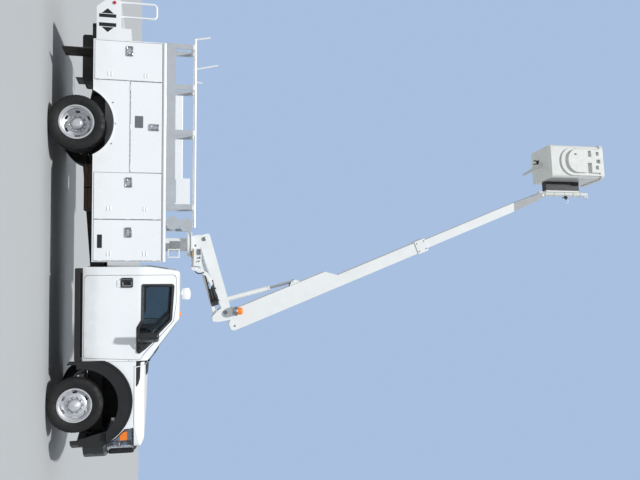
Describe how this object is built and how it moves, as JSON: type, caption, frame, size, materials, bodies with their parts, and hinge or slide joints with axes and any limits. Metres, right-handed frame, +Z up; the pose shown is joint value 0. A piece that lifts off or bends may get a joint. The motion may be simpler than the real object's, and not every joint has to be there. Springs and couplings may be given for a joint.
{
  "type": "bucket truck",
  "caption": "Service truck with lockers, twin rear wheels and a jointed telescopic boom that lifts a levelled work bucket from a turntable behind the cab.",
  "frame": {"origin": "middle of the truck's length and width, on the ground under the tyres", "axes": "+X forward, +Y to the truck's left, +Z up"},
  "size_m": [7.02, 2.644, 9.727],
  "materials": {
    "white_paint": "gloss",
    "black_paint": "satin",
    "tyre_rubber": "matte",
    "bare_steel": "satin",
    "chrome_rod": "polished",
    "cast": "rough",
    "glass": "clear",
    "black_plastic": "grained",
    "interior": "grained",
    "rubber": "matte",
    "aluminium": "satin",
    "lamp": "clear",
    "amber": "clear",
    "fibreglass": "gloss"
  },
  "bodies": {
    "chassis": {"frame_rails": "black_paint", "cargo_floor": "white_paint", "engine_block": "cast", "rear_axle": "cast", "front_axle": "cast", "cab_shell": "white_paint", "cab_glass": "glass", "cab_interior": "interior", "front_clip": "white_paint", "grille": "black_plastic", "headlamps": "lamp", "fender_flares": "black_plastic", "front_bumper": "black_paint", "running_boards": "black_paint", "pack_left": "white_paint", "pack_right": "white_paint", "tail_shelf": "white_paint", "mud_flaps": "rubber", "body_rack": "aluminium", "pedestal": "white_paint", "roof_bins": "white_paint", "marker_lamps": "amber"},
    "hood_lid": {"hood": "white_paint"},
    "cab_door_left": {"door_left": "white_paint", "door_glass_left": "glass", "mirror_left": "black_plastic"},
    "cab_door_right": {"door_right": "white_paint", "door_glass_right": "glass", "mirror_right": "black_plastic"},
    "wheel_front_left": {"tyre_front_left": "tyre_rubber", "rim_front_left": "bare_steel"},
    "wheel_front_right": {"tyre_front_right": "tyre_rubber", "rim_front_right": "bare_steel"},
    "wheels_rear_left": {"tyres_rear_left": "tyre_rubber", "rims_rear_left": "bare_steel"},
    "wheels_rear_right": {"tyres_rear_right": "tyre_rubber", "rims_rear_right": "bare_steel"},
    "steer_left": {"knuckle_left": "cast"},
    "steer_right": {"knuckle_right": "cast"},
    "turret": {"turntable": "white_paint"},
    "lower_arm": {"arm": "white_paint"},
    "level_link": {"link": "white_paint"},
    "arm_barrel": {"arm_cylinder_barrel": "white_paint"},
    "arm_rod": {"arm_cylinder_rod": "chrome_rod"},
    "elbow_head": {"elbow": "white_paint", "beacon": "amber"},
    "lift_barrel": {"boom_cylinder_barrel": "white_paint"},
    "lift_rod": {"boom_cylinder_rod": "chrome_rod"},
    "upper_boom": {"boom_base": "white_paint"},
    "boom_stage": {"boom_inner": "fibreglass"},
    "carrier": {"bucket_column": "white_paint"},
    "bucket_body": {"bucket": "fibreglass"},
    "locker_rear_left": {"body_door_rear_left": "white_paint"},
    "locker_rear_right": {"body_door_rear_right": "white_paint"},
    "locker_upper_left": {"body_door_upper_left": "white_paint"},
    "locker_upper_right": {"body_door_upper_right": "white_paint"},
    "locker_middle_left": {"body_door_middle_left": "white_paint"},
    "locker_middle_right": {"body_door_middle_right": "white_paint"},
    "locker_front_left": {"body_door_front_left": "white_paint"},
    "locker_front_right": {"body_door_front_right": "white_paint"}
  },
  "joints": [
    {"name": "turntable_turn", "type": "hinge", "parent": "chassis", "child": "turret", "pos_m": [0.118, 0, 2.122], "axis": [0, 0, 1], "continuous": true},
    {"name": "arm_lift", "type": "hinge", "parent": "turret", "child": "lower_arm", "pos_m": [0.025, 0, 2.345], "axis": [0, -1, 0], "range_deg": [-16.1, 63.9]},
    {"name": "elbow_level", "type": "hinge", "parent": "lower_arm", "child": "elbow_head", "pos_m": [1.255, 0, 2.7], "axis": [0, -1, 0], "range_deg": [-63.9, 16.1]},
    {"name": "link_swing", "type": "hinge", "parent": "turret", "child": "level_link", "pos_m": [0.135, 0, 2.205], "axis": [0, -1, 0], "range_deg": [-16.1, 63.9]},
    {"name": "arm_barrel_tilt", "type": "hinge", "parent": "turret", "child": "arm_barrel", "pos_m": [0.07, 0, 2.196], "axis": [0, -1, 0], "range_deg": [-14.6, 58]},
    {"name": "arm_rod_stroke", "type": "slide", "parent": "arm_barrel", "child": "arm_rod", "axis": [0.9419, 0, 0.3359], "range_m": [-0.0366, 0.1451]},
    {"name": "boom_lift", "type": "hinge", "parent": "elbow_head", "child": "upper_boom", "pos_m": [1.253, 0, 2.89], "axis": [0, 1, 0], "range_deg": [-68.2, 6]},
    {"name": "lift_barrel_tilt", "type": "hinge", "parent": "elbow_head", "child": "lift_barrel", "pos_m": [1.041, 0, 2.732], "axis": [0, 1, 0], "range_deg": [-72.2, 6.4]},
    {"name": "lift_rod_stroke", "type": "slide", "parent": "lift_barrel", "child": "lift_rod", "axis": [-0.2494, 0, 0.9684], "range_m": [-0.2882, 0.0255]},
    {"name": "boom_extend", "type": "slide", "parent": "upper_boom", "child": "boom_stage", "axis": [-0.3714, 0, 0.9285], "range_m": [-2.1, 0.4]},
    {"name": "bucket_level", "type": "hinge", "parent": "boom_stage", "child": "carrier", "pos_m": [-0.8545, 0, 8.6492], "axis": [0, 1, 0], "range_deg": [-6, 68.2]},
    {"name": "bucket_turn", "type": "hinge", "parent": "carrier", "child": "bucket_body", "pos_m": [-0.888, 0, 9.16], "axis": [0, 0, 1], "range_deg": [-80, 100]},
    {"name": "hood_hinge", "type": "hinge", "parent": "chassis", "child": "hood_lid", "pos_m": [1.987, 0, 1.452], "axis": [0, -1, 0], "range_deg": [0, 55]},
    {"name": "door_left_hinge", "type": "hinge", "parent": "chassis", "child": "cab_door_left", "pos_m": [1.887, 1.018, 0.93], "axis": [0, 0, -1], "range_deg": [0, 65]},
    {"name": "door_right_hinge", "type": "hinge", "parent": "chassis", "child": "cab_door_right", "pos_m": [1.887, -1.018, 0.93], "axis": [0, 0, 1], "range_deg": [0, 65]},
    {"name": "locker_rear_left_hinge", "type": "hinge", "parent": "chassis", "child": "locker_rear_left", "pos_m": [-2.313, 1.2, 1.145], "axis": [0, 0, -1], "range_deg": [0, 90]},
    {"name": "locker_middle_left_hinge", "type": "hinge", "parent": "chassis", "child": "locker_middle_left", "pos_m": [-0.238, 1.2, 1.145], "axis": [0, 0, -1], "range_deg": [0, 90]},
    {"name": "locker_front_left_hinge", "type": "hinge", "parent": "chassis", "child": "locker_front_left", "pos_m": [0.38, 1.2, 1.145], "axis": [0, 0, -1], "range_deg": [0, 90]},
    {"name": "locker_upper_left_hinge", "type": "hinge", "parent": "chassis", "child": "locker_upper_left", "pos_m": [-1.618, 1.2, 1.175], "axis": [-1, 0, 0], "range_deg": [0, 90]},
    {"name": "locker_rear_right_hinge", "type": "hinge", "parent": "chassis", "child": "locker_rear_right", "pos_m": [-2.313, -1.2, 1.145], "axis": [0, 0, 1], "range_deg": [0, 90]},
    {"name": "locker_middle_right_hinge", "type": "hinge", "parent": "chassis", "child": "locker_middle_right", "pos_m": [-0.238, -1.2, 1.145], "axis": [0, 0, 1], "range_deg": [0, 90]},
    {"name": "locker_front_right_hinge", "type": "hinge", "parent": "chassis", "child": "locker_front_right", "pos_m": [0.38, -1.2, 1.145], "axis": [0, 0, 1], "range_deg": [0, 90]},
    {"name": "locker_upper_right_hinge", "type": "hinge", "parent": "chassis", "child": "locker_upper_right", "pos_m": [-1.618, -1.2, 1.175], "axis": [1, 0, 0], "range_deg": [0, 90]},
    {"name": "steer_left_turn", "type": "hinge", "parent": "chassis", "child": "steer_left", "pos_m": [2.521, 0.79, 0.405], "axis": [0, 0, 1], "range_deg": [-30, 30]},
    {"name": "steer_right_turn", "type": "hinge", "parent": "chassis", "child": "steer_right", "pos_m": [2.521, -0.79, 0.405], "axis": [0, 0, 1], "range_deg": [-30, 30]},
    {"name": "wheel_front_left_spin", "type": "hinge", "parent": "steer_left", "child": "wheel_front_left", "pos_m": [2.521, 0.95, 0.405], "axis": [0, 1, 0], "continuous": true},
    {"name": "wheel_front_right_spin", "type": "hinge", "parent": "steer_right", "child": "wheel_front_right", "pos_m": [2.521, -0.95, 0.405], "axis": [0, 1, 0], "continuous": true},
    {"name": "wheels_rear_left_spin", "type": "hinge", "parent": "chassis", "child": "wheels_rear_left", "pos_m": [-1.665, 0.94, 0.405], "axis": [0, 1, 0], "continuous": true},
    {"name": "wheels_rear_right_spin", "type": "hinge", "parent": "chassis", "child": "wheels_rear_right", "pos_m": [-1.665, -0.94, 0.405], "axis": [0, 1, 0], "continuous": true}
  ],
  "couplings": [
    {"joint": "elbow_level", "follows": "arm_lift", "ratio": -1},
    {"joint": "link_swing", "follows": "arm_lift", "ratio": 1},
    {"joint": "arm_barrel_tilt", "follows": "arm_lift", "ratio": 0.905},
    {"joint": "arm_rod_stroke", "follows": "arm_lift", "m_per_rad": 0.13},
    {"joint": "lift_barrel_tilt", "follows": "boom_lift", "ratio": 1.0572},
    {"joint": "lift_rod_stroke", "follows": "boom_lift", "m_per_rad": 0.242},
    {"joint": "bucket_level", "follows": "boom_lift", "ratio": -1},
    {"joint": "steer_right_turn", "follows": "steer_left_turn", "ratio": 1}
  ]
}
